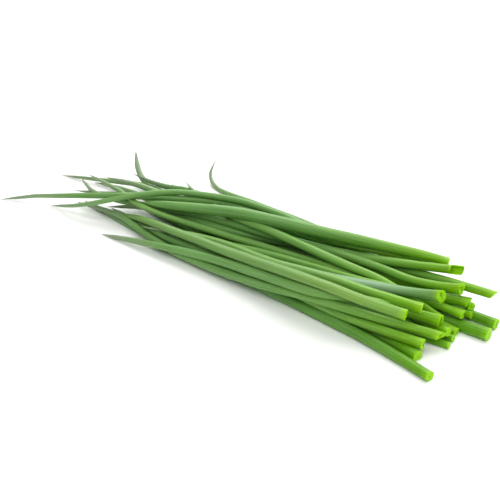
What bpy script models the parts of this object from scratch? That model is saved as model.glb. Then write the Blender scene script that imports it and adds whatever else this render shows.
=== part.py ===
"""A bunch of cut chives lying loose on a flat surface.

Every leaf is one round, hollow blade: open where it was cut, stout over its
first half and tapered to a point. The leaves were laid down one after another.
Each has a route, the points that it passes over as seen from above, and its
heights follow from a rule: a springy leaf comes to rest on the surface and on
the leaves laid before it.

Routes and sizes are in millimetres: x runs along the bunch towards the cut
ends, y across it and z up. The meshes are in metres.
"""

import math
from typing import NamedTuple

import bmesh
import bpy
import numpy as np
from mathutils import Matrix, Vector

MM = 0.001

# The blade of a leaf: its girth changes along its length
GIRTH_AT = (0.0, 0.06, 0.3, 0.5, 0.7, 0.85, 0.95, 1.0)
GIRTH_SHARE = (0.82, 0.9, 1.0, 0.97, 0.8, 0.6, 0.4, 0.2)
POINT_LENGTH = 2.5
WALL = 0.65
SMALLEST_BORE = 0.55
BORE_SHARE = 0.45
BORE_END = 0.2

# The sides and rings of a blade, and how closely the rings crowd to the tip
SIDES = 8
SLIM_SIDES = 7
SLIM_GIRTH = 3.0
RINGS = 14
CROWDING = 1.35
CURLED = 5.0
CURLED_RINGS = 19
CURLED_CROWDING = 1.6
SHARP_ANGLE = 50

# How a leaf comes to rest
GAP = 0.3
SPRINGINESS = 1.5e5
CONTACT_STIFFNESS = 4000.0
CONTACT_SPACING = 1.5
CONTACT_ROUNDS = 80
ROUTE_STEPS = 24
FLAT_SPOT = 0.15


class Leaf(NamedTuple):
    """One leaf: its widest diameter and its route from the cut end to the tip.

    flatness is its height as a share of its width. mouth is how much wider the
    knife left the cut end. curl is how far the tip lifts itself, from that
    share of the length on. A taper below one keeps it stout for longer. slant
    is the angle of the cut, turned round the leaf.
    """

    name: str
    colour: str
    girth: float
    route: tuple
    flatness: float = 1.0
    mouth: float = 1.0
    curl: float = 0.0
    curl_from: float = 0.9
    taper: float = 1.0
    slant: float = 0.0
    slant_turn: float = 0.0


LEAVES = (
    # Leaves on the surface, from the front edge to the back
    Leaf("leaf_01_front_edge", "deep", 4.9,
         ((116, -39), (84, -31), (49, -25), (10, -20), (-26, -17), (-60, -11), (-87, -6),
          (-109, -1)), mouth=1.1),
    Leaf("leaf_02_front_short", "deep", 4.2,
         ((105, -29), (77, -23), (38, -19), (1, -15), (-32, -10), (-62, -4)), mouth=1.2),
    Leaf("leaf_03_floor_thin", "deep", 3.4,
         ((112, -13), (83, -14), (43, -16), (5, -12), (-30, -7), (-60, 0))),
    Leaf("leaf_04_floor_middle", "deep", 3.6,
         ((111, -7), (80, -9), (40, -11), (1, -7), (-34, -2), (-66, 3))),
    Leaf("leaf_05_floor_stout", "deep", 4.7,
         ((123, 3), (89, 3), (44, 2), (0, 3), (-39, 5), (-75, 9)), mouth=1.45),
    Leaf("leaf_06_floor_far", "deep", 4.3,
         ((122, 13), (88, 15), (41, 16), (-3, 17), (-44, 18), (-80, 18)),
         mouth=1.3),
    Leaf("leaf_07_floor_back", "deep", 3.7,
         ((84, 27), (40, 26), (0, 26), (-40, 26), (-72, 24))),
    # Leaves in the heart of the bunch
    Leaf("leaf_08_curled_up", "mid", 3.5,
         ((110, -10), (78, -5), (42, -7), (3, -3), (-34, 1), (-67, 9), (-86, 22), (-98, 29),
          (-107, 39)), curl=13, curl_from=0.87, taper=0.55),
    Leaf("leaf_09_heart", "mid", 3.7,
         ((110, -2), (78, -1), (41, -3), (1, 0), (-36, 5), (-70, 10), (-97, 17), (-120, 19))),
    Leaf("leaf_10_heart_slim", "mid", 3.2,
         ((110, 12), (78, 11), (41, 11), (2, 12), (-34, 14), (-69, 13), (-92, 2), (-113, -5))),
    Leaf("leaf_11_heart_stout", "bright", 4.4,
         ((108, 13), (79, 9), (46, 6), (10, 8), (-23, 9), (-55, 12), (-80, 12), (-100, 7)),
         slant=25),
    Leaf("leaf_12_heart_long", "mid", 3.4,
         ((116, 3), (83, 19), (41, 20), (-3, 21), (-46, 21), (-84, 24), (-115, 19), (-141, 15))),
    # The front slope
    Leaf("leaf_13_front_second", "mid", 4.1,
         ((105, -24), (73, -26), (38, -23), (2, -17), (-34, -16), (-65, -9), (-92, 0))),
    Leaf("leaf_14_front_third", "mid", 4.0,
         ((107, -16), (76, -25), (38, -27), (-5, -23), (-45, -18), (-80, -8), (-110, -6)),
         mouth=1.15, slant=42, slant_turn=65),
    # The back slope
    Leaf("leaf_15_back_middle", "mid", 3.5,
         ((93, 10), (78, 10), (51, 13), (20, 12), (-10, 13), (-37, 17), (-58, 25), (-75, 30)),
         curl=2, curl_from=0.93),
    Leaf("leaf_16_back_slope", "deep", 3.4,
         ((76, 47), (53, 38), (26, 27), (-5, 26), (-33, 27), (-60, 28), (-78, 24), (-99, 27))),
    Leaf("leaf_17_hooked_tip", "mid", 3.6,
         ((118, 16), (90, 16), (58, 20), (25, 30), (-5, 41), (-34, 47), (-54, 49), (-65, 53),
          (-70, 58), (-71, 64)), mouth=1.2, curl=9, curl_from=0.9, slant=35, slant_turn=20),
    # The top of the bunch
    Leaf("leaf_18_front_stray", "mid", 4.0,
         ((105, -9), (80, -17), (52, -28), (21, -25), (-9, -22), (-37, -22), (-78, -23))),
    Leaf("leaf_19_hollow_end", "mid", 3.8,
         ((100, 20), (73, 15), (42, 15), (9, 11), (-22, 3), (-51, 4), (-75, 5), (-93, -1)),
         mouth=1.25, slant=55, slant_turn=75),
    Leaf("leaf_20_torn_end", "mid", 3.6,
         ((106, 10), (90, 7), (69, 10), (34, 11), (-4, 6), (-39, 4), (-71, -1), (-98, -4),
          (-117, 5)), mouth=1.2),
    Leaf("leaf_21_bright", "bright", 3.2,
         ((109, 3), (78, 4), (41, 4), (3, 2), (-33, -2), (-67, -5), (-89, 2), (-115, 9))),
    Leaf("leaf_22_crossing", "bright", 3.7,
         ((101, 0), (74, 4), (43, 4), (11, 5), (-20, 7), (-45, 19), (-66, 31)),
         curl=2, curl_from=0.93),
    Leaf("leaf_23_slim", "bright", 2.6,
         ((90, 3), (68, 0), (43, 0), (16, -1), (-9, -3), (-32, -6), (-50, -9), (-66, -9))),
    Leaf("leaf_24_flattened", "bloomed", 5.2,
         ((99, 1), (77, -3), (52, -5), (25, -5), (0, -7), (-23, -9), (-58, -11)), flatness=0.62),
    Leaf("leaf_25_stout", "bright", 4.2,
         ((98, -16), (73, -13), (45, -9), (17, -10), (-11, -9), (-36, -11), (-58, -15))),
    Leaf("leaf_26_broad_top", "pale", 5.1,
         ((95, -23), (70, -27), (41, -26), (11, -21), (-18, -17), (-45, -14), (-84, -6)),
         flatness=0.8),
    Leaf("leaf_27_far_reaching", "mid", 2.9,
         ((81, 27), (51, 19), (15, 19), (-23, 20), (-54, 7), (-82, -5), (-110, -11),
          (-131, -16), (-148, -25))),
    Leaf("leaf_28_top_slim", "mid", 2.8,
         ((75, 42), (50, 27), (18, 20), (-18, 20), (-50, 9), (-77, -7), (-100, -16),
          (-121, -15))),
    Leaf("leaf_29_ridge", "mid", 4.3,
         ((90, 27), (64, 21), (36, 15), (8, 9), (-20, 4), (-67, -4))),
)

# Base colour and roughness of each kind of leaf
COLOURS = {
    "deep": ((0.07, 0.19, 0.03), 0.5),
    "mid": ((0.12, 0.27, 0.05), 0.45),
    "bright": ((0.18, 0.36, 0.06), 0.42),
    "bloomed": ((0.18, 0.33, 0.16), 0.6),
    "pale": ((0.24, 0.40, 0.10), 0.5),
}


def smooth_route(points):
    """A centripetal Catmull-Rom curve through the points of a route."""
    p = np.asarray(points, float)
    p = np.vstack([2 * p[0] - p[1], p, 2 * p[-1] - p[-2]])
    pieces = []
    for a, b, c, d in zip(p[:-3], p[1:-2], p[2:-1], p[3:]):
        t1 = math.sqrt(np.linalg.norm(b - a))
        t2 = t1 + math.sqrt(np.linalg.norm(c - b))
        t3 = t2 + math.sqrt(np.linalg.norm(d - c))
        t = np.linspace(t1, t2, ROUTE_STEPS, endpoint=False)[:, None]
        ab = (t1 - t) / t1 * a + t / t1 * b
        bc = (t2 - t) / (t2 - t1) * b + (t - t1) / (t2 - t1) * c
        cd = (t3 - t) / (t3 - t2) * c + (t - t2) / (t3 - t2) * d
        abc = (t2 - t) / t2 * ab + t / t2 * bc
        bcd = (t3 - t) / (t3 - t1) * bc + (t - t1) / (t3 - t1) * cd
        pieces.append((t2 - t) / (t2 - t1) * abc + (t - t1) / (t2 - t1) * bcd)
    pieces.append(p[-2][None])
    return np.vstack(pieces)


def along(curve, shares):
    """The points at these shares of a curve's length, and the length."""
    steps = np.linalg.norm(np.diff(curve, axis=0), axis=1)
    run = np.concatenate([[0.0], np.cumsum(steps)])
    where = np.asarray(shares) * run[-1]
    points = [np.interp(where, run, curve[:, k]) for k in range(curve.shape[1])]
    return np.stack(points, axis=-1), run[-1]


def ring_shares(leaf):
    """Where the rings of a leaf stand along it, closer together towards the tip."""
    if leaf.curl > CURLED:
        return 1 - (1 - np.linspace(0, 1, CURLED_RINGS)) ** CURLED_CROWDING
    return 1 - (1 - np.linspace(0, 1, RINGS)) ** CROWDING


def leaf_sides(leaf):
    """How many sides the leaf's blade has."""
    return SLIM_SIDES if leaf.girth < SLIM_GIRTH else SIDES


def bending_matrix(run):
    """The energy of bending a leaf whose rings stand at these lengths."""
    count = len(run)
    energy = np.zeros((count, count))
    for k in range(1, count - 1):
        before, after = run[k] - run[k - 1], run[k + 1] - run[k]
        span = before + after
        bend = np.zeros(count)
        bend[k - 1:k + 2] = 2 / (before * span), -2 / (before * after), 2 / (after * span)
        energy += SPRINGINESS * np.outer(bend, bend) * span / 2
    return energy


def between_rings(shares, length):
    """Weights that spread the rings' values over points close together."""
    fine = np.linspace(0, 1, int(length / CONTACT_SPACING) + 1)
    before = np.clip(np.searchsorted(shares, fine, side="right") - 1, 0, len(shares) - 2)
    part = (fine - shares[before]) / (shares[before + 1] - shares[before])
    spread = np.zeros((len(fine), len(shares)))
    spread[np.arange(len(fine)), before] = 1 - part
    spread[np.arange(len(fine)), before + 1] = part
    return spread


def lowest_heights(own, laid, sides):
    """The lowest that each of a leaf's points may lie.

    Both tables hold a row for each point: x, y, height, half width and half
    height. A leaf clears the surface by the flat side of its blade, and each
    laid leaf by the gap, as two ellipses do that lie one on the other.
    """
    lowest = own[:, 4] * math.cos(math.pi / sides)
    if len(laid) == 0:
        return lowest
    apart = (own[:, None, 0] - laid[:, 0]) ** 2 + (own[:, None, 1] - laid[:, 1]) ** 2
    reach = (own[:, None, 3] + laid[:, 3] + GAP) ** 2
    stack = own[:, None, 4] + laid[:, 4] + GAP
    over = laid[:, 2] + stack * np.sqrt(np.clip(1 - apart / reach, 0, None))
    over = np.where(apart < reach, over, 0).max(axis=1)
    return np.maximum(lowest, over - own[:, 2])


def settle(run, spread, lowest):
    """The rings' heights of least bending and weight, nowhere too low."""
    energy = bending_matrix(run)
    weight = np.gradient(run)
    touching = np.ones(len(lowest), bool)
    for _ in range(CONTACT_ROUNDS):
        held = spread[touching]
        stiffness = energy + CONTACT_STIFFNESS * held.T @ held
        push = CONTACT_STIFFNESS * held.T @ lowest[touching] - weight
        z = np.linalg.solve(stiffness, push)
        now = spread @ z < lowest
        if (now == touching).all() or not now.any():
            break
        touching = now
    return z + max(0.0, (lowest - spread @ z).max())


def lay_leaf(leaf, laid):
    """Lay one leaf on the surface and on the leaves laid before.

    laid holds a row for each point already taken: x, y, z, half width and half
    height. Returns the rings' centres, half widths and half heights, and the
    leaf's own rows.
    """
    shares = ring_shares(leaf)
    plan, length = along(smooth_route(leaf.route), shares)
    half_width = 0.5 * leaf.girth * np.interp(shares, GIRTH_AT, GIRTH_SHARE) ** leaf.taper
    half_width[0] *= leaf.mouth
    half_height = half_width * leaf.flatness
    curl = leaf.curl * np.clip((shares - leaf.curl_from) / (1 - leaf.curl_from), 0, 1) ** 2

    spread = between_rings(shares, length)
    rows = spread @ np.column_stack([plan, curl, half_width, half_height])
    lowest = lowest_heights(rows, laid, leaf_sides(leaf))
    z = settle(shares * length, spread, lowest) + curl
    rows[:, 2] = spread @ z
    return np.column_stack([plan, z]), half_width, half_height, rows


def ring_points(centres, k, half_width, half_height, sides, slope=(0.0, 0.0)):
    """The corners of one ring, square to the leaf, with a flat side down.

    slope is how much further out the ring reaches for each millimetre across
    and up, as a slanting cut does.
    """
    last = len(centres) - 1
    ahead = Vector(centres[min(k + 1, last)]) - Vector(centres[max(k - 1, 0)])
    ahead.normalize()
    across = Vector((0, 0, 1)).cross(ahead).normalized()
    up = ahead.cross(across)
    points = []
    for n in range(sides):
        angle = -math.pi / 2 + math.pi / sides + 2 * math.pi * n / sides
        side = math.cos(angle) * half_width
        rise = math.sin(angle) * half_height
        out = slope[0] * side + slope[1] * rise
        points.append(Vector(centres[k]) + across * side + up * rise - ahead * out)
    return points


def cut_slope(leaf):
    """The slope of a leaf's cut end, across and up."""
    steepness = math.tan(math.radians(leaf.slant))
    turn = math.radians(leaf.slant_turn)
    return -steepness * math.sin(turn), steepness * math.cos(turn)


def bridge(mesh, first, second):
    """Join two rings of the same count by a band of faces."""
    count = len(first)
    for n in range(count):
        m = (n + 1) % count
        mesh.faces.new((first[n], first[m], second[m], second[n]))


def close_to_point(mesh, ring, point):
    """Close a ring by a fan of faces to one point."""
    count = len(ring)
    for n in range(count):
        mesh.faces.new((ring[n], ring[(n + 1) % count], point))


def leaf_mesh(leaf, centres, half_width, half_height):
    """The blade of a leaf: a tapered tube with a bore from its cut end."""
    sides = leaf_sides(leaf)
    mesh = bmesh.new()

    def add_ring(k, wide, high):
        slope = cut_slope(leaf) if k == 0 else (0.0, 0.0)
        points = ring_points(centres, k, wide, high, sides, slope)
        for point in points:
            if abs(point.z) < FLAT_SPOT:
                point.z = 0.0
        return [mesh.verts.new(point * MM) for point in points]

    outer = [add_ring(k, half_width[k], half_height[k]) for k in range(len(centres))]
    for first, second in zip(outer, outer[1:]):
        bridge(mesh, first, second)
    ahead = (Vector(centres[-1]) - Vector(centres[-2])).normalized()
    tip = Vector(centres[-1]) + ahead * POINT_LENGTH * half_width[-1]
    close_to_point(mesh, outer[-1], mesh.verts.new(tip * MM))

    shares = ring_shares(leaf)
    bored = [k for k in range(len(centres))
             if shares[k] <= BORE_SHARE and half_height[k] - WALL >= SMALLEST_BORE]
    if bored:
        inner = [add_ring(k, half_width[k] - WALL, half_height[k] - WALL) for k in bored]
        bridge(mesh, inner[0], outer[0])
        for first, second in zip(inner, inner[1:]):
            bridge(mesh, second, first)
        last = Vector(centres[bored[-1]])
        end = last.lerp(Vector(centres[bored[-1] + 1]), BORE_END)
        close_to_point(mesh, inner[-1][::-1], mesh.verts.new(end * MM))
    else:
        mesh.faces.new(outer[0][::-1])

    bmesh.ops.triangulate(mesh, faces=mesh.faces)
    bmesh.ops.recalc_face_normals(mesh, faces=mesh.faces)
    data = bpy.data.meshes.new(leaf.name)
    mesh.to_mesh(data)
    mesh.free()
    data.shade_smooth()
    data.set_sharp_from_angle(angle=math.radians(SHARP_ANGLE))
    return data


def leaf_material(kind):
    """The finish of one kind of leaf."""
    colour, roughness = COLOURS[kind]
    material = bpy.data.materials.new("chive_" + kind)
    material.use_nodes = True
    shader = material.node_tree.nodes["Principled BSDF"]
    shader.inputs["Base Color"].default_value = (*colour, 1.0)
    shader.inputs["Roughness"].default_value = roughness
    shader.inputs["Metallic"].default_value = 0.0
    return material


def centre(items):
    """Move the leaves together so that the middle of their box is at x = y = 0."""
    places = np.array([vertex.co for item in items for vertex in item.data.vertices])
    middle = (places.min(axis=0) + places.max(axis=0)) / 2
    for item in items:
        item.data.transform(Matrix.Translation((-middle[0], -middle[1], 0.0)))


def main():
    """Lay the whole bunch and build its leaves."""
    for old in list(bpy.data.objects):
        bpy.data.objects.remove(old)
    finishes = {kind: leaf_material(kind) for kind in COLOURS}

    laid = np.zeros((0, 5))
    items = []
    for leaf in LEAVES:
        centres, half_width, half_height, rows = lay_leaf(leaf, laid)
        laid = np.vstack([laid, rows])
        data = leaf_mesh(leaf, centres, half_width, half_height)
        data.materials.append(finishes[leaf.colour])
        item = bpy.data.objects.new(leaf.name, data)
        bpy.context.scene.collection.objects.link(item)
        items.append(item)
    centre(items)


main()
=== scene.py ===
"""Looks of a loose bunch of cut chives lying on a white surface.

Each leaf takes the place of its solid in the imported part. Its centre line and
girth are read back from the solid's rings and drawn on as a smooth curve. A
round blade is then swept along it, with a worn cut end, a hollow that moist
flesh closes more or less, and a drawn-out tip. Lengths are in millimetres up to
the point where a mesh is made, which is in metres.
"""

import logging
import math
from dataclasses import dataclass
from enum import Enum, IntEnum

import bmesh
import bpy
import numpy as np
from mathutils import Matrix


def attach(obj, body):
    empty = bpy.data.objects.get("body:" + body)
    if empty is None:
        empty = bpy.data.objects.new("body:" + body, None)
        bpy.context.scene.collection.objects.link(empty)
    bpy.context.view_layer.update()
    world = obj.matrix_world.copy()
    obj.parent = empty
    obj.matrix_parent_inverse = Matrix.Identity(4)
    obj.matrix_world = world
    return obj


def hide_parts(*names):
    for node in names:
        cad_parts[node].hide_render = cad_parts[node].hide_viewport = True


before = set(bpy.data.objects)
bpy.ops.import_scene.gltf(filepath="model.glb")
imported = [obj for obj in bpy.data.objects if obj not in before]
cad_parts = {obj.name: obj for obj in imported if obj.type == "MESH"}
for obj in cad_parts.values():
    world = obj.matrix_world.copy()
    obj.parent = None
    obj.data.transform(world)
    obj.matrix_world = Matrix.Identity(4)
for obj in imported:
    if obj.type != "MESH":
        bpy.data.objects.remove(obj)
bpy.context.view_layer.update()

LOG = logging.getLogger("chives")

# One millimetre in metres
MM = 0.001

# Reading the solids: corners of a solid that are nearer than this are one, this
# many corners furthest out may be the tip, and rings are sorted this many times
SAME_CORNER = 0.01
LIKELY_TIPS = 16
SORTING_ROUNDS = 4

# The share of a leaf's length where its green starts to turn into the tip's grey
GREEN_UNTIL = 0.8


def linear(hex_colour: str) -> tuple[float, float, float, float]:
    """Turn an sRGB hex colour into linear light, by the sRGB standard's curve.

    Args:
        hex_colour: Six hex digits with a leading hash.

    Returns:
        Red, green, blue and an alpha of one.
    """
    channels = [int(hex_colour[k:k + 2], 16) / 255 for k in (1, 3, 5)]
    light = [c / 12.92 if c <= 0.04045 else ((c + 0.055) / 1.055) ** 2.4 for c in channels]
    return (*light, 1.0)


def add_node(
    tree: bpy.types.NodeTree,
    kind: str,
    settings: dict[str, object] | None = None,
    inputs: dict[str | int, object] | None = None,
) -> bpy.types.Node:
    """Add a shader node with its settings and links.

    Inputs that share a name are told apart by number. A map range has its value
    at 0, then the range that it comes from and the one that it goes to. A mix of
    colours has its amount at 0 and the two colours at 6 and 7.

    Args:
        tree: The tree that gets the node.
        kind: The node's type name, without its ShaderNode prefix.
        settings: Properties of the node.
        inputs: For each input's name or index, a socket to link or a value.

    Returns:
        The new node.
    """
    node = tree.nodes.new("ShaderNode" + kind)
    for name, value in (settings or {}).items():
        setattr(node, name, value)
    for name, value in (inputs or {}).items():
        if isinstance(value, bpy.types.NodeSocket):
            tree.links.new(value, node.inputs[name])
        else:
            node.inputs[name].default_value = value
    return node


def new_material(
    name: str,
) -> tuple[bpy.types.Material, bpy.types.NodeTree, bpy.types.Node]:
    """Start a material.

    Args:
        name: The material's name.

    Returns:
        The material, its tree and its shader.
    """
    material = bpy.data.materials.new(name)
    material.use_nodes = True
    tree = material.node_tree
    return material, tree, tree.nodes["Principled BSDF"]


def new_object(name: str, data: bpy.types.ID) -> bpy.types.Object:
    """Put an object into the scene.

    Args:
        name: The object's name.
        data: Its mesh, lamp or camera.

    Returns:
        The object, at the origin.
    """
    thing = bpy.data.objects.new(name, data)
    bpy.context.scene.collection.objects.link(thing)
    return thing


def unit(vectors: np.ndarray) -> np.ndarray:
    """Scale vectors to a length of one."""
    return vectors / np.linalg.norm(vectors, axis=-1, keepdims=True)


def side_vectors(ahead: np.ndarray) -> tuple[np.ndarray, np.ndarray]:
    """Find the level direction across a leaf and the one that points up from it.

    Args:
        ahead: Directions along the leaf.

    Returns:
        Two arrays of directions, square to each other and to the leaf.
    """
    across = unit(np.cross([0.0, 0.0, 1.0], ahead))
    return across, np.cross(ahead, across)


def distances_along(points: np.ndarray) -> np.ndarray:
    """Add up the steps from the first point of a line to each of its points."""
    return np.concatenate([[0.0], np.cumsum(np.linalg.norm(np.diff(points, axis=0), axis=1))])


def sample(at: np.ndarray, run: np.ndarray, vectors: np.ndarray) -> np.ndarray:
    """Read points or directions off a line, straight between its own.

    Args:
        at: The distances to read at.
        run: The distance of each of the line's points.
        vectors: What the line has at each of them.

    Returns:
        What it has at the distances.
    """
    return np.stack([np.interp(at, run, vectors[:, k]) for k in range(3)], axis=-1)


def fade(distance: np.ndarray, length: float) -> np.ndarray:
    """Fade from one at the cut, by a factor of e over each length."""
    return np.exp(-np.maximum(distance, 0) / length)


def smooth_curve(points: np.ndarray, steps: int) -> np.ndarray:
    """Draw a centripetal Catmull-Rom curve through points.

    Each stretch blends three straight lines through its neighbours, whose
    knots lie as far apart as the square roots of the distances.

    Args:
        points: The points that the curve passes through.
        steps: How many samples each stretch gets.

    Returns:
        The samples, with the last point.
    """
    p = np.vstack([2 * points[0] - points[1], points, 2 * points[-1] - points[-2]])
    knots = np.sqrt(np.linalg.norm(np.diff(p, axis=0), axis=1))
    a, b, c, d = (p[k:len(p) - 3 + k, None] for k in range(4))
    t1, t2, t3 = (knots[k:len(knots) - 2 + k, None, None] for k in range(3))
    t2 = t1 + t2
    t3 = t2 + t3
    t = t1 + (t2 - t1) * np.linspace(0, 1, steps, endpoint=False)[None, :, None]
    ab = ((t1 - t) * a + t * b) / t1
    bc = ((t2 - t) * b + (t - t1) * c) / (t2 - t1)
    cd = ((t3 - t) * c + (t - t2) * d) / (t3 - t2)
    abc = ((t2 - t) * ab + t * bc) / t2
    bcd = ((t3 - t) * bc + (t - t1) * cd) / (t3 - t1)
    curve = ((t2 - t) * abc + (t - t1) * bcd) / (t2 - t1)
    return np.vstack([curve.reshape(-1, 3), points[-1]])


def merged_solid(mesh: bpy.types.Mesh) -> tuple[np.ndarray, np.ndarray]:
    """Merge a copy of a solid's loose triangles.

    Args:
        mesh: The solid's mesh, in metres.

    Returns:
        The corners in millimetres, and each edge in both directions.
    """
    merged = bmesh.new()
    merged.from_mesh(mesh)
    bmesh.ops.remove_doubles(merged, verts=merged.verts, dist=SAME_CORNER * MM)
    merged.verts.index_update()
    points = np.array([vertex.co for vertex in merged.verts]) / MM
    ends = np.array([[vertex.index for vertex in edge.verts] for edge in merged.edges])
    merged.free()
    return points, np.vstack([ends, ends[:, ::-1]])


def walk(count: int, edges: np.ndarray, start: int) -> np.ndarray:
    """Number a solid's corners by how many edges they are from one of them.

    Args:
        count: The number of corners.
        edges: Each edge in both directions.
        start: The corner that the walk starts at.

    Returns:
        The number of steps to each corner.
    """
    steps = np.full(count, -1)
    steps[start] = 0
    for step in range(count):
        ahead = edges[steps[edges[:, 0]] == step, 1]
        ahead = ahead[steps[ahead] < 0]
        if len(ahead) == 0:
            break
        steps[ahead] = step + 1
    return steps


def even_walk(points: np.ndarray, edges: np.ndarray) -> np.ndarray:
    """Walk from the tip: the start whose steps reach the most even rings.

    Args:
        points: The solid's corners.
        edges: Each edge in both directions.

    Returns:
        The number of steps from the tip to each corner.
    """
    starts = np.argsort(points[:, 0])[:LIKELY_TIPS]
    walks = [walk(len(points), edges, start) for start in starts]

    def unevenness(steps: np.ndarray) -> float:
        """Add up how far the rings are from all having as many corners."""
        sizes = np.bincount(steps)[1:-1]
        return float(np.abs(sizes - np.median(sizes)).sum())

    return min(walks, key=unevenness)


def settled_rings(points: np.ndarray, centres: np.ndarray) -> list[np.ndarray]:
    """Sort corners into rings by the nearest centre, which moves to its corners' mean.

    Args:
        points: The corners of the leaf's outside.
        centres: The rough centre of each ring.

    Returns:
        The corners of each ring.
    """
    for _ in range(SORTING_ROUNDS):
        nearest = np.linalg.norm(points[:, None] - centres, axis=-1).argmin(axis=1)
        rings = [points[nearest == k] for k in range(len(centres))]
        centres = np.array([ring.mean(axis=0) for ring in rings])
    return rings


@dataclass(frozen=True)
class Spine:
    """The centre line and girth of one leaf, read from its solid.

    Attributes:
        places: Ring centres from the cut end to the tip, then the tip itself.
        half_widths: Half the width at each place.
        half_heights: Half the height at each place.
        slope: How far the cut end reaches out for each millimetre across and up.
    """

    places: np.ndarray
    half_widths: np.ndarray
    half_heights: np.ndarray
    slope: tuple[float, float]

    LEAST_STRIDE = 0.6  # a ring less far on than this is where the walk turns back
    TIP_RADIUS = 0.25  # half the girth at the very tip

    @classmethod
    def from_solid(cls, name: str) -> "Spine":
        """Read a leaf's rings back from its solid.

        The rings are the steps of a walk over the solid's edges that starts at
        the tip: first the outside down to the cut, then the bore, where the walk
        turns back. A ring that lost a corner, as can happen where a leaf is
        straight, is left out.

        Args:
            name: The leaf's node.

        Returns:
            The leaf's spine, in millimetres.
        """
        points, edges = merged_solid(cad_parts[name].data)
        steps = even_walk(points, edges)
        rings = [points[steps == k] for k in range(1, steps.max() + 1)]
        centres = np.array([ring.mean(axis=0) for ring in rings])
        strides = np.diff(centres, axis=0)
        onward = (strides[1:] * unit(strides[:-1])).sum(axis=1)
        turns = np.flatnonzero(onward < cls.LEAST_STRIDE)
        count = int(turns[0]) + 2 if len(turns) else len(rings)

        outside = settled_rings(np.vstack(rings[:count]), centres[:count])[::-1]
        sides = int(np.median([len(ring) for ring in outside]))
        ends = (0, count - 1)
        whole = [ring for k, ring in enumerate(outside) if len(ring) == sides or k in ends]
        return cls.from_rings(whole, points[steps == 0])

    @classmethod
    def from_rings(cls, rings: list[np.ndarray], tip: np.ndarray) -> "Spine":
        """Measure the rings of a leaf's outside.

        The corners of a ring lie evenly round an ellipse, so half its width is
        the root of twice their mean square distance across, and its height goes
        the same way. The cut's slope is that of the plane which fits the
        corners of the first ring best.

        Args:
            rings: The corners of each ring, from the cut end to the tip.
            tip: The tip.

        Returns:
            The leaf's spine, in millimetres.
        """
        centres = np.array([ring.mean(axis=0) for ring in rings])
        ahead = unit(np.gradient(centres, axis=0))
        across, up = side_vectors(ahead)
        sizes = [
            [math.sqrt(2 * (((ring - centre) @ way) ** 2).mean()) for way in ways]
            for ring, centre, *ways in zip(rings, centres, across, up)
        ]
        sizes = np.vstack([sizes, [cls.TIP_RADIUS, cls.TIP_RADIUS]])
        corners = rings[0] - centres[0]
        level = np.column_stack([corners @ across[0], corners @ up[0]])
        slope = np.linalg.lstsq(level, -corners @ ahead[0], rcond=None)[0]
        return cls(
            places=np.vstack([centres, tip]),
            half_widths=sizes[:, 0],
            half_heights=sizes[:, 1],
            slope=(float(slope[0]), float(slope[1])),
        )


class Skin(Enum):
    """The kinds of leaf, by the record's material slots."""

    DEEP = "chive_deep"
    MID = "chive_mid"
    BRIGHT = "chive_bright"
    BLOOMED = "chive_bloomed"
    PALE = "chive_pale"


class Mouth(Enum):
    """How the cut end of a leaf looks: how ragged it is, in millimetres."""

    CLEAN = 0.12
    ROUGH = 0.4
    RAGGED = 0.9
    TORN = 1.9


class Part(IntEnum):
    """The parts of a blade, in the order of its materials."""

    SKIN = 0
    FLESH = 1
    LINING = 2


@dataclass(frozen=True)
class Bend:
    """A gentle bend of a leaf, in millimetres.

    Attributes:
        at: How far from the cut the leaf bends the most, or from its tip if negative.
        reach: How far along the leaf the bend spreads.
        shift: How far the leaf moves there: x, y and z.
    """

    at: float
    reach: float
    shift: tuple[float, float, float]


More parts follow.
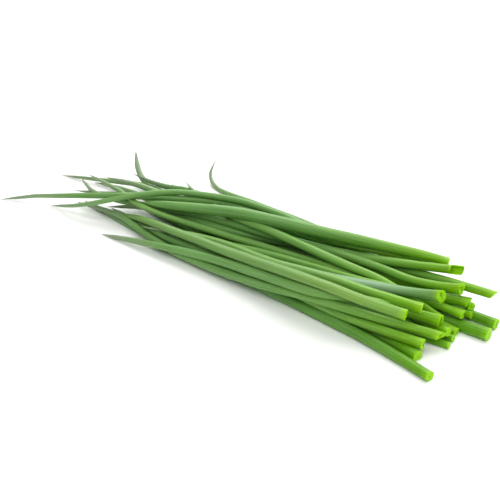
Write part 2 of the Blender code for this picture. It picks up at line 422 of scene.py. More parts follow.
@dataclass(frozen=True)
class Blade:
    """One leaf: a hollow blade swept along the spine of its solid.

    Attributes:
        node: The leaf's solid.
        skin: The kind of leaf.
        mouth: How its cut end looks.
        stout: How much stouter the leaf is than its solid.
        plump: How much stouter still its tip is.
        flare: How much wider and higher the cut end opens.
        flare_length: How far from the cut the flare fades away.
        filled: How much of the cut end the moist flesh fills.
        notch: How far back the near wall is torn, in millimetres.
        press: How far the knife pressed the cut end flat, as a share.
        lean: How far the cut slants for each millimetre across and up.
        bends: Small bends that the solid leaves out.
        tone_and_shade: How much lighter or darker the leaf is than its kind; on leaves that lie low
            at the back of the bunch the darkening is painted shade.
        bloom: How grey its waxy bloom makes it, from 0 to 1.
        grey_tip: How far its tip turns to the tip's grey, from 0 to 1.
    """

    node: str
    skin: Skin
    mouth: Mouth = Mouth.CLEAN
    stout: float = 1.08
    plump: float = 1.3
    flare: tuple[float, float] = (1.0, 1.0)
    flare_length: float = 13.0
    filled: float = 0.95
    notch: float = 0.0
    press: float = 0.1
    lean: tuple[float, float] = (0.0, 0.0)
    bends: tuple[Bend, ...] = ()
    tone_and_shade: float = 0.0
    bloom: float = 0.3
    grey_tip: float = 1.0

    SIDES = 28  # points of each ring
    CURVE_STEPS = 48  # samples of the curve for each stretch of the solid
    BEYOND = 8.0  # how far the centre line runs on straight past the cut

    STATION_SPACING = 1.4  # distance between two rings along the leaf
    MOUTH_SPACING = 0.3  # and over the first stretch behind the cut
    MOUTH_LENGTH = 4.5
    TIP_LENGTH = 6.0
    TIP_STATIONS = 12
    TIP_CROWDING = 1.5  # power by which the rings draw together at the tip

    WALL = 0.6  # the thinnest wall at the mouth
    LEAST_BORE = 0.05  # half the narrowest hollow
    HOLLOW_DEPTH = 30.0  # the depth where no flesh fills the mouth
    HOLLOW_STATIONS = 26
    HOLLOW_CROWDING = 1.6  # power by which its rings draw together at the mouth
    LIP = 0.12  # the roundness of the mouth's rim
    LIP_REACH = (0.35, 0.0, 0.0, 0.35)  # how far back its rings lie, as shares of it
    LIP_INSET = (0.86, 0.62, 0.38, 0.14)  # how far into the wall they lie, 1 being inside

    POINT_LENGTH = 9.0  # the tip draws out to a point over this length
    POINT_END = 0.02  # what is left of the girth at its end, before the power
    POINT_POWER = 0.6

    MOUTH_FADE = 3.0  # the worn cut fades away over this length
    PRESS_FADE = 7.0  # and a pressed end over this one
    PRESS_SPREAD = 0.4  # how much wider a pressed end gets, as a share of the press
    WORN_WAVES = (1, 2, 3, 5, 8)  # how often each wave of the worn cut goes round
    WORN_SIZES = (0.4, 1.0)  # the range of their random sizes
    WORN_POWER = 0.7  # how fast they get smaller
    NOTCH_TURN = 150.0  # where the notch lies round the leaf, in degrees
    NOTCH_EDGE = 1.4  # how steep its sides are

    RIB_SPACING = 1.1  # drawn coarser than the real 0.3 mm, so that they show
    RIB_HEIGHT = 0.035
    SWELL = 0.03  # the girth's unevenness, as a share
    SWELL_WAVE = 34.0
    WOBBLE = 0.1  # the leaf's small turns to the side
    WOBBLE_WAVE = 55.0
    WOBBLE_START = 20.0  # distance from the cut where they reach their full size
    WAVE_COUNT = 3
    WAVE_SIZES = (0.5, 1.0)  # the range of the waves' random sizes
    WAVE_SHARE = 0.55  # each shorter wave's size as a share of the last
    WAVE_PEAK = 1.6  # about the highest sum of the waves

    def build(self, finishes: "Finishes") -> bpy.types.Object:
        """Make the leaf and put it in the place of its solid.

        Args:
            finishes: The materials of the bunch.

        Returns:
            The leaf's object.
        """
        spine = Spine.from_solid(self.node)
        rng = np.random.default_rng(int(self.node.split("_")[1]))
        rings, from_cut, parts = self.rings(spine, rng)
        piece = self.mesh(rings, from_cut, parts)
        finishes.dress(piece, self.skin)
        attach(piece, "root")
        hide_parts(self.node)
        return piece

    def rings(
        self, spine: Spine, rng: np.random.Generator
    ) -> tuple[np.ndarray, np.ndarray, np.ndarray]:
        """Work out every ring of the blade, from the bottom of the hollow to the tip.

        A point of a ring is the place on the centre line, plus its distance
        across times the level direction, plus its distance up times the upward
        one. The slant and the wear of the cut shift each point along the leaf,
        less and less away from the mouth. A slow wave moves whole rings to the
        side, and nothing goes below the surface that the bunch lies on.

        Args:
            spine: The leaf's centre line and girth.
            rng: The leaf's own random draws.

        Returns:
            The rings, their distances from the cut, and the part of the blade
            that each band between two rings belongs to.
        """
        curve, run, knots = self.centre_line(spine)
        length = run[-1]
        distance, inset, parts = self.stations(length)
        half_width, half_height = self.girths(spine, knots, distance)
        swell = 1 + self.SWELL * self.waves(distance, self.SWELL_WAVE, rng)
        least = np.minimum(half_width, half_height)
        wall = np.maximum(self.WALL, self.filled * least)
        inset = inset * np.minimum(wall, np.maximum(least - self.LEAST_BORE, 0.0))
        wide, high = half_width * swell - inset, half_height * swell - inset
        bottom = -np.pi / 2
        angles = np.linspace(bottom, bottom + 2 * np.pi, self.SIDES, endpoint=False)
        side, rise = self.ribbed(angles, wide, high, half_width.max())
        side, rise = self.pressed(side, rise, distance)

        slope = np.add(spine.slope, self.lean)
        shift = self.worn(angles, rng) - slope[0] * side - slope[1] * rise
        along = distance[:, None] + shift * fade(distance, self.MOUTH_FADE)[:, None]
        along = np.minimum(along, length)
        centre = sample(along, run, curve)
        ahead = unit(np.gradient(curve, run, axis=0))
        across, up = side_vectors(unit(sample(along, run, ahead)))
        rings = centre + across * side[..., None] + up * rise[..., None]

        drift = self.WOBBLE * self.waves(distance, self.WOBBLE_WAVE, rng)
        drift = drift * np.clip(distance / self.WOBBLE_START, 0, 1)
        rings = rings + drift[:, None, None] * across
        rings[..., 2] = np.maximum(rings[..., 2], 0.0)
        return rings, distance, parts

    def centre_line(self, spine: Spine) -> tuple[np.ndarray, np.ndarray, np.ndarray]:
        """Draw the bent centre line, which starts straight, ahead of the cut.

        Args:
            spine: The leaf's centre line and girth.

        Returns:
            The line's points, their distances from the cut, and the distances
            of the spine's own places.
        """
        curve = self.bent(smooth_curve(spine.places, self.CURVE_STEPS))
        run = distances_along(curve)
        stretches = np.arange(len(spine.places) - 1) * self.CURVE_STEPS
        knots = run[np.append(stretches, len(run) - 1)]
        start = curve[0] + (curve[0] - curve[1]) / run[1] * self.BEYOND
        return np.vstack([start, curve]), np.concatenate([[-self.BEYOND], run]), knots

    def bent(self, curve: np.ndarray) -> np.ndarray:
        """Bend the centre line: each shift fades as a bell along the leaf.

        Args:
            curve: The points of the centre line, from the cut to the tip.

        Returns:
            The bent centre line.
        """
        run = distances_along(curve)
        for bend in self.bends:
            at = bend.at if bend.at >= 0 else run[-1] + bend.at
            bell = np.exp(-((run - at) / bend.reach) ** 2)
            curve = curve + bell[:, None] * np.array(bend.shift)
        return curve

    def stations(self, length: float) -> tuple[np.ndarray, np.ndarray, np.ndarray]:
        """Place the rings: up the hollow, over the lip and along to the tip.

        Args:
            length: The leaf's length.

        Returns:
            Each ring's distance from the cut, how far it lies in the wall from
            0 outside to 1 inside, and the part of each band between two rings.
        """
        depth = self.HOLLOW_DEPTH * (1 - self.filled) ** 2 + self.LIP
        up_hollow = np.linspace(1, 0, self.HOLLOW_STATIONS) ** self.HOLLOW_CROWDING
        hollow = depth * up_hollow + self.LIP
        lip = self.LIP * np.array(self.LIP_REACH)
        mouth = np.arange(self.LIP, self.MOUTH_LENGTH, self.MOUTH_SPACING)
        tip_start = length - self.TIP_LENGTH
        body_count = int((tip_start - self.MOUTH_LENGTH) / self.STATION_SPACING)
        body = np.linspace(self.MOUTH_LENGTH, tip_start, body_count)
        to_tip = np.linspace(1, 0, self.TIP_STATIONS)[1:] ** self.TIP_CROWDING
        tip = length - self.TIP_LENGTH * to_tip
        outside = np.concatenate([mouth, body, tip])
        distance = np.concatenate([hollow, lip, outside])
        inset = np.concatenate([np.ones(len(hollow)), self.LIP_INSET, np.zeros(len(outside))])

        # The flesh runs from the first ring of the lip to the second one outside
        bands = (len(hollow), len(lip) + 1, len(outside) - 2)
        parts = np.repeat([Part.LINING, Part.FLESH, Part.SKIN], bands)
        return distance, inset, parts

    def girths(
        self, spine: Spine, knots: np.ndarray, distance: np.ndarray
    ) -> tuple[np.ndarray, np.ndarray]:
        """Work out half the width and half the height of each ring.

        The solid's own girth is multiplied by the leaf's stoutness, which grows
        with the square of the way to the tip and shrinks again as a power of
        what is left of the point. The flare opens the cut end.

        Args:
            spine: The leaf's centre line and girth.
            knots: The distances of the spine's places from the cut.
            distance: The rings' distances from the cut.

        Returns:
            The half widths and the half heights.
        """
        length = knots[-1]
        stoutness = self.stout * (1 + (self.plump - 1) * np.clip(distance / length, 0, 1) ** 2)
        point = np.clip((length - distance) / self.POINT_LENGTH, self.POINT_END, 1)
        stoutness = stoutness * point ** self.POINT_POWER
        flare = fade(distance, self.flare_length)
        wide, high = (
            np.interp(distance, knots, half) * (1 + (opening - 1) * flare) * stoutness
            for half, opening in zip((spine.half_widths, spine.half_heights), self.flare)
        )
        return wide, high

    def ribbed(
        self, angles: np.ndarray, wide: np.ndarray, high: np.ndarray, widest: float
    ) -> tuple[np.ndarray, np.ndarray]:
        """Draw the rings as ellipses with fine ribs, which get lower as a ring gets narrower.

        A point lies the half width times the cosine of its angle across and the
        half height times the sine up. The ribs add a cosine wave to both halves.

        Args:
            angles: The angles round the leaf.
            wide: Each ring's half width.
            high: Each ring's half height.
            widest: The leaf's half width where it is stoutest.

        Returns:
            How far each point is across from the centre line and up from it.
        """
        count = round(2 * np.pi * widest / self.RIB_SPACING)
        wide, high = wide[:, None], high[:, None]
        crest = self.RIB_HEIGHT * np.cos(count * angles)[None] * wide / widest
        return (wide + crest) * np.cos(angles), (high + crest) * np.sin(angles)

    def pressed(
        self, side: np.ndarray, rise: np.ndarray, distance: np.ndarray
    ) -> tuple[np.ndarray, np.ndarray]:
        """Press the blade flat towards its cut end, which makes it wider there.

        Args:
            side: How far each point is across from the centre line.
            rise: How far each point is up from it.
            distance: The rings' distances from the cut.

        Returns:
            The new distances across and up.
        """
        share = (self.press * fade(distance, self.PRESS_FADE))[:, None]
        return side * (1 + self.PRESS_SPREAD * share), rise * (1 - share)

    def worn(self, angles: np.ndarray, rng: np.random.Generator) -> np.ndarray:
        """Set the cut back round its rim: by wear, and by the notch.

        The wear is a sum of cosines with random phases, and the notch a smooth
        step down and up again.

        Args:
            angles: The angles round the leaf.
            rng: The leaf's own random draws.

        Returns:
            The shift along the leaf at each angle, in millimetres.
        """
        wear = np.zeros_like(angles)
        for count in self.WORN_WAVES:
            phase = rng.uniform(0, 2 * np.pi)
            size = rng.uniform(*self.WORN_SIZES)
            wear += size * np.cos(count * angles + phase) / count ** self.WORN_POWER
        wear = self.mouth.value * (wear - wear.min()) / np.ptp(wear)
        turn = angles + math.radians(self.NOTCH_TURN)
        near = np.clip(0.5 - self.NOTCH_EDGE * np.cos(turn), 0, 1)
        return wear + self.notch * near * near * (3 - 2 * near)

    def waves(
        self, distance: np.ndarray, longest: float, rng: np.random.Generator
    ) -> np.ndarray:
        """Make a gentle random wave along the leaf: a sum of sines, each half as long.

        Args:
            distance: The rings' distances from the cut.
            longest: The length of the longest wave.
            rng: The leaf's own random draws.

        Returns:
            The wave at each ring, between about -1 and 1.
        """
        wave = np.zeros_like(distance)
        for octave in range(self.WAVE_COUNT):
            phase = rng.uniform(0, 2 * np.pi)
            size = self.WAVE_SHARE ** octave * rng.uniform(*self.WAVE_SIZES)
            wave += size * np.sin(2 * np.pi * distance * 2 ** octave / longest + phase)
        return wave / self.WAVE_PEAK

    def mesh(
        self, rings: np.ndarray, from_cut: np.ndarray, parts: np.ndarray
    ) -> bpy.types.Object:
        """Put the rings into a mesh, closed at the bottom of the hollow and the tip.

        Args:
            rings: The points of every ring, in millimetres.
            from_cut: Each ring's distance from the cut.
            parts: The part of each band between two rings.

        Returns:
            The new object.
        """
        count, sides = rings.shape[:2]
        ends = np.array([rings[0].mean(axis=0), rings[-1].mean(axis=0)])
        points = np.vstack([rings.reshape(-1, 3), ends])
        corner = np.arange(count * sides).reshape(count, sides)
        after = np.roll(corner, -1, axis=1)
        quads = np.stack([corner[:-1], after[:-1], after[1:], corner[1:]], axis=-1)
        bottom = np.stack([after[0], corner[0], np.full(sides, count * sides)], axis=-1)
        tip = np.stack([corner[-1], after[-1], np.full(sides, count * sides + 1)], axis=-1)
        faces = quads.reshape(-1, 4).tolist() + bottom.tolist() + tip.tolist()

        mesh = bpy.data.meshes.new(self.node)
        mesh.from_pydata((points * MM).tolist(), [], faces)
        material = np.repeat([*parts, Part.LINING, Part.SKIN], sides)
        mesh.polygons.foreach_set("material_index", material.astype(np.int32))
        mesh.polygons.foreach_set("use_smooth", np.ones(len(faces), bool))
        layer = mesh.uv_layers.new(name="leaf_mm")
        flat = self.laid_flat(rings, from_cut)
        layer.uv.foreach_set("vector", flat.astype(np.float32).ravel())

        share = np.append(np.repeat(from_cut / from_cut.max(), sides), [0.0, 1.0])
        share = share * (GREEN_UNTIL + (1 - GREEN_UNTIL) * self.grey_tip)
        self.mark(mesh, "share", share)
        self.mark(mesh, "tone_and_shade", np.full(len(points), self.tone_and_shade))
        self.mark(mesh, "bloom", np.full(len(points), self.bloom))
        return new_object("blade_" + self.node.removeprefix("leaf_"), mesh)

    @staticmethod
    def laid_flat(rings: np.ndarray, from_cut: np.ndarray) -> np.ndarray:
        """Map the blade in real millimetres: round the leaf and along it.

        Args:
            rings: The points of every ring.
            from_cut: Each ring's distance from the cut.

        Returns:
            A place on the map for each corner of each face.
        """
        sides = rings.shape[1]
        radius = np.linalg.norm(rings - rings.mean(axis=1, keepdims=True), axis=-1).max()
        around = 2 * np.pi * radius * np.arange(sides + 1) / sides
        left, right = around[:-1], around[1:]
        low, high = from_cut[:-1, None], from_cut[1:, None]
        corners = ((left, low), (right, low), (right, high), (left, high))
        bands = np.stack([np.stack(np.broadcast_arrays(*uv), -1) for uv in corners], axis=2)
        bottom = np.column_stack([right, left, left])
        tip = np.column_stack([left, right, left])
        ends = [
            np.stack([turn, np.full_like(turn, at)], axis=-1).reshape(-1, 2)
            for turn, at in ((bottom, from_cut[0]), (tip, from_cut[-1]))
        ]
        return np.concatenate([bands.reshape(-1, 2), *ends])

    @staticmethod
    def mark(mesh: bpy.types.Mesh, name: str, values: np.ndarray) -> None:
        """Store one number for each point of a mesh, which the materials read."""
        layer = mesh.attributes.new(name, "FLOAT", "POINT")
        layer.data.foreach_set("value", values.astype(np.float32))


@dataclass(frozen=True)
class LeafSkin:
    """The waxy skin of a fresh chive leaf: smooth, ribbed lengthwise, a little glossy.

    Attributes:
        name: The material's name.
        edge: The colour of the last millimetres, where light shines through the wall.
        cut: The colour of the stretch behind them.
        base: The colour of the stout half.
        body: The colour of the rest.
        tip: The colour at the tip.
        shade: The colour of the darker streaks.
        bloom: The colour of the waxy bloom.
        roughness: The roughness of the skin.
    """

    name: str
    edge: str
    cut: str
    base: str
    body: str
    tip: str
    shade: str
    bloom: str
    roughness: float

    BODY_FROM = 0.4  # share of the length where the stout half's colour ends
    GLOW_LENGTH = 40.0  # the brighter stretch behind the cut
    EDGE_LENGTH = 5.0  # the last millimetres, where light shines through
    EDGE_SHARE = 0.7  # how much of the edge's colour the very end has
    STREAK_SIZE = (0.7, 25.0)  # width and length of a streak
    STREAK_NOISE = (0.42, 0.7)  # the noise where streaks begin and are darkest
    STREAK_SHARE = 0.42  # how much of the shade's colour the darkest streaks have
    RIB_SPACING = 0.55  # drawn coarser than the real 0.3 mm, so that they show
    RIB_SHADES = (0.94, 1.06)  # painted shade in a groove and painted light on a rib, as factors of the colour
    BAND_PERIOD = 0.314  # distance between the bands of Blender's wave at a scale of 1
    PATCH_SIZE = (6.0, 30.0)  # width and length of a patch of bloom
    PATCH_NOISE = (0.3, 0.7)  # the noise where bloom is thinnest and thickest
    LEAST_BLOOM = 0.3  # the bloom where it is thinnest, as a share of its most
    RUBBED_OFF = 0.8  # how much of the bloom the cut end has lost
    ROUGHER = (-0.06, 0.08)  # how much the roughness changes under the bloom
    RELIEF = 0.06  # height of the ribs and streaks

    def build(self) -> bpy.types.Material:
        """Make the material: its colours lie along the leaf, with fine ribs and streaks.

        Returns:
            The material.
        """
        material, tree, shader = new_material(self.name)
        uv = add_node(tree, "UVMap", {"uv_map": "leaf_mm"}).outputs[0]
        from_cut = add_node(tree, "SeparateXYZ", inputs={0: uv}).outputs[1]
        share, tone_and_shade, bloom = (
            add_node(tree, "Attribute", {"attribute_name": name}).outputs["Fac"]
            for name in ("share", "tone_and_shade", "bloom")
        )

        # The green from the stout half to the tip, and how bright the cut end is
        ramp = add_node(tree, "ValToRGB", inputs={0: share})
        stops = ramp.color_ramp.elements
        stops[0].position, stops[0].color = 0.0, linear(self.base)
        stops[1].position, stops[1].color = 1.0, linear(self.tip)
        for at in (self.BODY_FROM, GREEN_UNTIL):
            stops.new(at).color = linear(self.body)
        glow, edge = (
            add_node(tree, "MapRange", {"interpolation_type": "SMOOTHSTEP"},
                     {0: from_cut, 1: 0.0, 2: length, 3: most, 4: 0.0}).outputs[0]
            for length, most in ((self.GLOW_LENGTH, 1.0), (self.EDGE_LENGTH, self.EDGE_SHARE))
        )

        # Long dark streaks, soft patches of bloom, and fine ribs
        noises = []
        for (width, length), detail, grit in (
            (self.STREAK_SIZE, 3.0, 0.6),
            (self.PATCH_SIZE, 4.0, 0.55),
        ):
            place = add_node(tree, "Mapping", inputs={0: uv, 3: (1 / width, 1 / length, 1)})
            noise = add_node(tree, "TexNoise", {"noise_dimensions": "2D"}, {
                0: place.outputs[0], "Scale": 1.0, "Detail": detail, "Roughness": grit})
            noises.append(noise.outputs[0])
        streak, cloud = noises
        rib = add_node(tree, "TexWave", {"wave_type": "BANDS", "bands_direction": "X"}, {
            0: uv, "Scale": self.BAND_PERIOD / self.RIB_SPACING,
            "Distortion": 0.6, "Detail": 1.0}).outputs[1]
        satin = [self.roughness + change for change in self.ROUGHER]
        dark, rib_shade_and_tone, wax, rough = (
            add_node(tree, "MapRange", inputs={
                0: value, 1: low, 2: high, 3: first, 4: last}).outputs[0]
            for value, (low, high), (first, last) in (
                (streak, self.STREAK_NOISE, (0.0, self.STREAK_SHARE)),
                (rib, (0.0, 1.0), self.RIB_SHADES),
                (cloud, self.PATCH_NOISE, (self.LEAST_BLOOM, 1.0)),
                (cloud, self.PATCH_NOISE, satin),
            )
        )
        # The ribs darken and lighten the colour: painted shade in the grooves and painted light on
        # the crests. The leaf's tone is added to this, and on low leaves that tone is painted
        # shade.
        rib_shade_and_tone = add_node(tree, "Math", {"operation": "ADD"}, {0: rib_shade_and_tone, 1: tone_and_shade}).outputs[0]
        kept = add_node(tree, "Math", {"operation": "MULTIPLY_ADD"},
                        {0: glow, 1: -self.RUBBED_OFF, 2: 1.0}).outputs[0]
        for factor in (bloom, kept):
            wax = add_node(tree, "Math", {"operation": "MULTIPLY"},
                           {0: wax, 1: factor}).outputs[0]

        # The colours go on in layers, each over the last
        colour = ramp.outputs[0]
        for blend, amount, layer in (
            ("MIX", glow, linear(self.cut)),
            ("MIX", edge, linear(self.edge)),
            ("MIX", dark, linear(self.shade)),
            ("MULTIPLY", 1.0, rib_shade_and_tone),
            ("MIX", wax, linear(self.bloom)),
        ):
            colour = add_node(tree, "Mix", {"data_type": "RGBA", "blend_type": blend},
                              {0: amount, 6: colour, 7: layer}).outputs[2]
        relief = add_node(tree, "Math", {"operation": "MULTIPLY_ADD"},
                          {0: streak, 1: 0.5, 2: rib}).outputs[0]
        bump = add_node(tree, "Bump", inputs={
            "Strength": 0.35, "Distance": self.RELIEF * MM, "Height": relief}).outputs[0]
        for name, value in (("Base Color", colour), ("Roughness", rough), ("Normal", bump)):
            tree.links.new(value, shader.inputs[name])

        # Wax bends light a little less than glass, and green light goes deepest
        shader.inputs["IOR"].default_value = 1.42
        shader.inputs["Subsurface Weight"].default_value = 0.2
        shader.inputs["Subsurface Radius"].default_value = (0.5, 1.0, 0.15)
        shader.inputs["Subsurface Scale"].default_value = 0.8 * MM
        return material


@dataclass(frozen=True)
class WetFlesh:
    """The flesh of a leaf where a knife laid it bare: moist, pale and bright.

    Attributes:
        name: The material's name.
        light: The colour of the moist flesh.
        dark: The colour where it is bruised.
        roughness: The roughness of the flesh.
    """

    name: str
    light: str
    dark: str
    roughness: float

    CELL_SIZE = 0.6  # drawn coarser than real cells, so that they show
    BRUISE_NOISE = (0.35, 0.7)  # the noise where a bruise begins and is darkest
    RELIEF = 0.08  # height of the cells

    def build(self) -> bpy.types.Material:
        """Make the material: two greens in fine patches under a moist gloss.

        Returns:
            The material.
        """
        material, tree, shader = new_material(self.name)
        place = add_node(tree, "TexCoord").outputs["Object"]
        cells = add_node(tree, "TexNoise", inputs={
            0: place, "Scale": 1 / (self.CELL_SIZE * MM), "Detail": 3.0}).outputs[0]
        low, high = self.BRUISE_NOISE
        spread = add_node(tree, "MapRange", inputs={0: cells, 1: low, 2: high, 3: 0.0, 4: 1.0})
        colour = add_node(tree, "Mix", {"data_type": "RGBA"}, {
            0: spread.outputs[0], 6: linear(self.light), 7: linear(self.dark)})
        tree.links.new(colour.outputs[2], shader.inputs["Base Color"])
        bump = add_node(tree, "Bump", inputs={
            "Strength": 0.4, "Distance": self.RELIEF * MM, "Height": cells})
        tree.links.new(bump.outputs[0], shader.inputs["Normal"])

        # Watery sap bends light little more than water, and light goes deep into it
        shader.inputs["Roughness"].default_value = self.roughness
        shader.inputs["IOR"].default_value = 1.36
        shader.inputs["Subsurface Weight"].default_value = 0.35
        shader.inputs["Subsurface Radius"].default_value = (0.7, 1.0, 0.15)
        shader.inputs["Subsurface Scale"].default_value = 1.0 * MM
        return material


class Finishes:
    """All the materials of the bunch."""

    # Chive skin, as grown, under a thin coat of wax: it gives a soft satin sheen
    # along the ribs. The bloomed kind has more wax, so it is greyer and more matt.
    SKINS = {
        Skin.DEEP: LeafSkin(
            "chive_skin_deep_green", edge="#8CC60A", cut="#69A207", base="#659D15",
            body="#63964A", tip="#8E938E", shade="#265606", bloom="#82A06E", roughness=0.38),
        Skin.MID: LeafSkin(
            "chive_skin_mid_green", edge="#98CE08", cut="#7EB207", base="#74A91B",
            body="#719E57", tip="#9A9B91", shade="#326A0C", bloom="#8CAA74", roughness=0.36),
        Skin.BRIGHT: LeafSkin(
            "chive_skin_bright_green", edge="#9ED00C", cut="#80B60F", base="#85BA20",
            body="#80AC5B", tip="#9A9F96", shade="#407C10", bloom="#92B076", roughness=0.35),
        Skin.BLOOMED: LeafSkin(
            "chive_skin_bloomed", edge="#A2D010", cut="#7AA658", base="#7FA176",
            body="#80A081", tip="#94998E", shade="#4C7C3E", bloom="#9AB492", roughness=0.5),
        Skin.PALE: LeafSkin(
            "chive_skin_pale_green", edge="#A0D014", cut="#80AA4B", base="#87AB4C",
            body="#739855", tip="#69894D", shade="#508426", bloom="#94B276", roughness=0.42),
    }

    # Cut flesh, wet with sap: bright yellow-green with a moist gloss
    FLESH = WetFlesh("chive_cut_flesh", light="#9CD408", dark="#8AC404", roughness=0.35)

    # The inner skin of the tube, drier than the flesh: a duller, uneven green
    LINING = WetFlesh("chive_hollow_lining", light="#9CD010", dark="#7CB406", roughness=0.5)

    def __init__(self) -> None:
        """Make every material once."""
        self.skins = {kind: skin.build() for kind, skin in self.SKINS.items()}
        self.flesh = self.FLESH.build()
        self.lining = self.LINING.build()

    def dress(self, piece: bpy.types.Object, skin: Skin) -> None:
        """Give a leaf its materials, in the order of its parts."""
        for material in (self.skins[skin], self.flesh, self.lining):
            piece.data.materials.append(material)


BLADES = (
    Blade("leaf_01_front_edge", Skin.DEEP, Mouth.ROUGH, press=0.12, tone_and_shade=0.04),
    Blade("leaf_02_front_short", Skin.DEEP, Mouth.ROUGH, flare=(1.3, 1.3)),
    Blade("leaf_03_floor_thin", Skin.DEEP, Mouth.RAGGED, flare=(1.2, 1.2)),
    Blade("leaf_04_floor_middle", Skin.DEEP, Mouth.ROUGH, flare=(1.1, 1.1)),
    Blade("leaf_05_floor_stout", Skin.DEEP, Mouth.ROUGH, stout=1.15),
    Blade("leaf_06_floor_far", Skin.DEEP, Mouth.ROUGH, stout=1.15, filled=0.85),
    # Darker by its tone: painted shade, as this leaf lies low at the back of the bunch
    Blade("leaf_07_floor_back", Skin.DEEP, tone_and_shade=-0.1),
    Blade("leaf_08_curled_up", Skin.MID, Mouth.RAGGED, plump=1.5, flare=(1.28, 1.28),
          bends=(Bend(at=-28, reach=13, shift=(4.6, 2.2, 0)),), bloom=0.4),
    Blade("leaf_09_heart", Skin.MID, Mouth.ROUGH, flare=(1.4, 1.4)),
    Blade("leaf_10_heart_slim", Skin.MID, Mouth.ROUGH, flare=(1.25, 1.25),
          bends=(Bend(at=0, reach=30, shift=(0.6, -0.7, -1.6)),)),
    Blade("leaf_11_heart_stout", Skin.BRIGHT, Mouth.RAGGED, stout=1.15, flare=(1.2, 1.3),
          press=0.15),
    Blade("leaf_12_heart_long", Skin.MID, Mouth.RAGGED, flare=(1.3, 1.6),
          bends=(Bend(at=0, reach=34, shift=(-7.3, 12.0, -9.5)),)),
    Blade("leaf_13_front_second", Skin.MID, Mouth.RAGGED, flare=(1.5, 1.5), filled=0.85),
    Blade("leaf_14_front_third", Skin.MID, Mouth.RAGGED, flare=(1.14, 1.14), filled=0.8,
          bends=(Bend(at=0, reach=25, shift=(1.6, 0.7, 0.3)),)),
    Blade("leaf_15_back_middle", Skin.MID, Mouth.ROUGH),
    # Darker by its tone: painted shade, as this leaf lies low in the bunch
    Blade("leaf_16_back_slope", Skin.DEEP, stout=1.2, tone_and_shade=-0.06),
    Blade("leaf_17_hooked_tip", Skin.MID, Mouth.ROUGH, stout=1.2, plump=1.2,
          bends=(Bend(at=56, reach=24, shift=(0.4, -0.6, -1.3)),)),
    Blade("leaf_18_front_stray", Skin.MID, Mouth.ROUGH, stout=1.12, flare=(1.1, 1.8),
          filled=0.6, press=0.0, lean=(-0.5, 0.0)),
    Blade("leaf_19_hollow_end", Skin.MID, stout=1.12, filled=0.25, notch=6.0, press=0.0,
          lean=(1.2, -0.2)),
    Blade("leaf_20_torn_end", Skin.MID, Mouth.TORN, stout=1.12, flare=(1.1, 1.6),
          flare_length=4.0, press=0.0),
    Blade("leaf_21_bright", Skin.BRIGHT, Mouth.RAGGED, flare=(1.7, 1.7), press=0.2,
          bends=(Bend(at=0, reach=30, shift=(0.6, 1.2, 1.1)),)),
    Blade("leaf_22_crossing", Skin.BRIGHT, Mouth.ROUGH, flare=(0.85, 0.85),
          bends=(Bend(at=0, reach=30, shift=(0.8, -1.2, -2.8)),)),
    Blade("leaf_23_slim", Skin.BRIGHT, stout=1.15,
          bends=(Bend(at=0, reach=30, shift=(0, 0.8, -2.2)),)),
    Blade("leaf_24_flattened", Skin.BLOOMED, Mouth.RAGGED, flare=(0.7, 2.3), filled=1.0,
          press=0.0, lean=(-1.0, 0.0),
          bends=(Bend(at=0, reach=35, shift=(1.0, -0.1, -1.0)),
                 Bend(at=-1, reach=22, shift=(3.0, 2.0, -3.5))), bloom=0.6),
    Blade("leaf_25_stout", Skin.BRIGHT, flare=(1.3, 1.3), lean=(0.5, 0.3),
          bends=(Bend(at=0, reach=30, shift=(0.9, 0, -0.8)),), tone_and_shade=-0.04),
    Blade("leaf_26_broad_top", Skin.PALE, flare=(1.1, 1.4), filled=0.75, press=0.0,
          bends=(Bend(at=-1, reach=16, shift=(2.0, 0, -1.8)),), bloom=0.15),
    Blade("leaf_27_far_reaching", Skin.MID, stout=1.25,
          bends=(Bend(at=132, reach=32, shift=(0.2, -1.4, -1.3)),)),
    Blade("leaf_28_top_slim", Skin.MID, stout=1.15, plump=1.4,
          bends=(Bend(at=126, reach=32, shift=(0.3, -0.5, -1.0)),)),
    Blade("leaf_29_ridge", Skin.MID, stout=1.2, plump=1.9, bloom=0.15, grey_tip=0.0),
)


@dataclass(frozen=True)
class Lamp:
    """A square soft lamp that points at the bunch.

    Attributes:
        name: The lamp's name.
        at: Where it hangs, in metres.
        size: Its width in metres.
        power: Its power in watts.
    """

    name: str
    at: tuple[float, float, float]
    size: float
    power: float

    def hang(self) -> None:
        """Make the lamp, hang it and turn it to the origin."""
        data = bpy.data.lights.new(self.name, "AREA")
        data.size = self.size
        data.energy = self.power
        lamp = new_object(self.name, data)
        lamp.location = self.at
        x, y, z = self.at
        lamp.rotation_euler = (math.atan2(math.hypot(x, y), z), 0.0, math.atan2(x, -y))


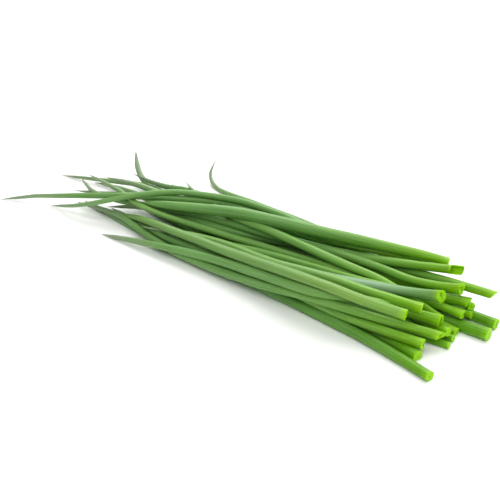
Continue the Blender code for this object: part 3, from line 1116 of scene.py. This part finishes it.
@dataclass(frozen=True)
class Studio:
    """A white surface under soft light, and the camera, in metres and degrees.

    Attributes:
        floor_size: The width of the surface.
        grain: The size of the patches in the surface.
        room_light: The strength of the light from all round.
        lamps: The lamps.
        camera_at: Where the camera stands.
        azimuth: How far the view is turned from straight along the y axis.
        elevation: How far the camera looks down.
        lens: The camera's focal length in millimetres.
        sensor: The width of its sensor in millimetres.
    """

    floor_size: float = 12.0
    grain: float = 0.025
    room_light: float = 0.43
    lamps: tuple[Lamp, ...] = (
        Lamp("key_from_behind", at=(-0.4, 1.0, 1.2), size=1.8, power=26.5),
        Lamp("fill_from_front", at=(0.3, -0.75, 1.25), size=1.2, power=7.0),
        Lamp("glow_on_cut_ends", at=(1.1, -0.25, 0.45), size=0.6, power=2.0),
    )
    camera_at: tuple[float, float, float] = (0.30027, -0.42681, 0.29763)
    azimuth: float = 35.0
    elevation: float = 30.0
    lens: float = 86.4
    sensor: float = 36.0

    def build(self) -> None:
        """Set up the surface, the light and the camera."""
        self.floor()
        self.light()
        self.camera()

    def floor(self) -> None:
        """Lay the white surface."""
        half = self.floor_size / 2
        mesh = bpy.data.meshes.new("white_surface")
        corners = [(-half, -half, 0), (half, -half, 0), (half, half, 0), (-half, half, 0)]
        mesh.from_pydata(corners, [], [(0, 1, 2, 3)])
        floor = new_object("white_surface", mesh)

        # Board with a white clay coating: matt and bright, and faintly uneven
        material, tree, shader = new_material("white_coated_board")
        place = add_node(tree, "TexCoord").outputs["Object"]
        grain = add_node(tree, "TexNoise", inputs={
            0: place, "Scale": 1 / self.grain, "Detail": 2.0})
        colour = add_node(tree, "Mix", {"data_type": "RGBA"}, {
            0: grain.outputs[0], 6: linear("#F6F6F5"), 7: linear("#FAFAF9")})
        tree.links.new(colour.outputs[2], shader.inputs["Base Color"])
        shader.inputs["Roughness"].default_value = 0.75
        shader.inputs["Specular IOR Level"].default_value = 0.2
        mesh.materials.append(material)

    def light(self) -> None:
        """Light the surface from all round, and more from above and behind."""
        world = bpy.data.worlds.new("soft_room")
        bpy.context.scene.world = world
        world.use_nodes = True
        sky = world.node_tree.nodes["Background"]
        sky.inputs["Color"].default_value = linear("#FFFFFF")
        sky.inputs["Strength"].default_value = self.room_light
        for lamp in self.lamps:
            lamp.hang()
        view = bpy.context.scene.view_settings
        view.view_transform = "Standard"
        view.look = "Medium High Contrast"

    def camera(self) -> None:
        """Stand the camera at the photograph's angle."""
        data = bpy.data.cameras.new("camera")
        data.lens = self.lens
        data.sensor_width = self.sensor
        camera = new_object("camera", data)
        camera.location = self.camera_at
        camera.rotation_euler = (math.radians(90 - self.elevation), 0.0, math.radians(self.azimuth))
        bpy.context.scene.camera = camera


def main() -> None:
    """Set up the studio and build the bunch, leaf by leaf."""
    logging.basicConfig(level=logging.INFO, format="%(name)s: %(message)s")
    Studio().build()
    finishes = Finishes()
    for blade in BLADES:
        piece = blade.build(finishes)
        LOG.info("%s: %d faces", piece.name, len(piece.data.polygons))


if __name__ == "__main__":
    main()
